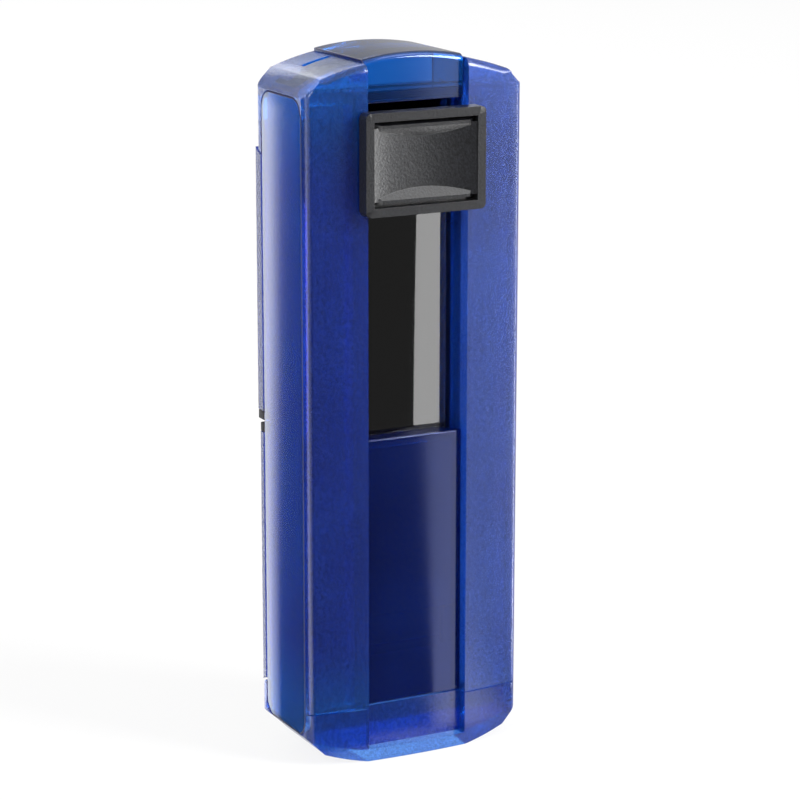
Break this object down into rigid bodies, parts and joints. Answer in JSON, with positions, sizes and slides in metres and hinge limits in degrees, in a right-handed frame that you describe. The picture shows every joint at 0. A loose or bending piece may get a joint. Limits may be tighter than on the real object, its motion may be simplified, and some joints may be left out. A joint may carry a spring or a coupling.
{
  "type": "pocket self-inking stamp",
  "caption": "Pocket self-inking stamp with a tinted case, a thumb slider, two spring-open wings and a stamp plate that turns from its ink pad to the paper.",
  "frame": {"origin": "centre of the bounding box's bottom face, on the flat of the end cap", "axes": "+Z along the case from the end cap to the slider end, -Y out of the front with the slider, +X to the right seen from the front"},
  "size_m": [0.03, 0.0174, 0.09],
  "materials": {
    "shell_plastic": "tinted blue, fine frosted grain",
    "wing_plastic": "tinted blue, fine frosted grain",
    "panel_plastic": "tinted blue, polished",
    "strip_plastic": "tinted blue, polished",
    "clear_lens": "clear, polished",
    "card": "dark card, matt",
    "black_plastic": "black, satin",
    "slider_plastic": "black, fine-grained satin",
    "ink_felt": "felt soaked with ink",
    "pin_steel": "drawn steel",
    "spring_steel": "drawn spring wire",
    "foot_rubber": "soft, matt",
    "foam": "closed-cell foam",
    "stamp_rubber": "laser-cut stamp rubber"
  },
  "bodies": {
    "case": {"left_shell": "shell_plastic", "right_shell": "shell_plastic", "left_side_panel": "panel_plastic", "right_side_panel": "panel_plastic", "front_panel": "strip_plastic", "top_strip": "strip_plastic", "window_lens": "clear_lens", "index_card": "card", "bottom_cap": "shell_plastic", "chassis": "black_plastic", "pad_tray": "black_plastic", "ink_pad": "ink_felt", "upper_hinge_pin": "pin_steel", "lower_hinge_pin": "pin_steel", "upper_wing_springs": "spring_steel", "lower_wing_springs": "spring_steel"},
    "slider": {"slider_button": "slider_plastic", "lock_bar": "black_plastic"},
    "wing_up": {"upper_wing": "wing_plastic", "upper_wing_feet": "foot_rubber"},
    "wing_low": {"lower_wing": "wing_plastic", "lower_wing_feet": "foot_rubber"},
    "carrier": {"carrier_frame": "black_plastic", "axle_pins": "pin_steel", "flip_springs": "spring_steel"},
    "stamp": {"die_holder": "black_plastic", "die_cushion": "foam", "text_plate": "stamp_rubber"}
  },
  "joints": [
    {"name": "slider_slide", "type": "slide", "parent": "case", "child": "slider", "axis": [0, 0, -1], "range_m": [0, 0.01]},
    {"name": "upper_wing_hinge", "type": "hinge", "parent": "case", "child": "wing_up", "pos_m": [0, 0.0059, 0.0808], "axis": [1, 0, 0], "range_deg": [0, 90]},
    {"name": "lower_wing_hinge", "type": "hinge", "parent": "case", "child": "wing_low", "pos_m": [0, 0.0059, 0.0042], "axis": [1, 0, 0], "range_deg": [-90, 0]},
    {"name": "carrier_slide", "type": "slide", "parent": "case", "child": "carrier", "axis": [0, 1, 0], "range_m": [0, 0.036], "stiffness_N_per_m": 150, "springref_m": -0.003},
    {"name": "die_flip", "type": "hinge", "parent": "carrier", "child": "stamp", "pos_m": [0, 0.0048, 0.0425], "axis": [0, 0, 1], "range_deg": [0, 180]}
  ],
  "couplings": [
    {"joint": "upper_wing_hinge", "follows": "slider_slide", "rad_per_m": 157.08},
    {"joint": "lower_wing_hinge", "follows": "slider_slide", "rad_per_m": -157.08},
    {"joint": "die_flip", "follows": "carrier_slide", "rad_per_m": 87.266}
  ]
}
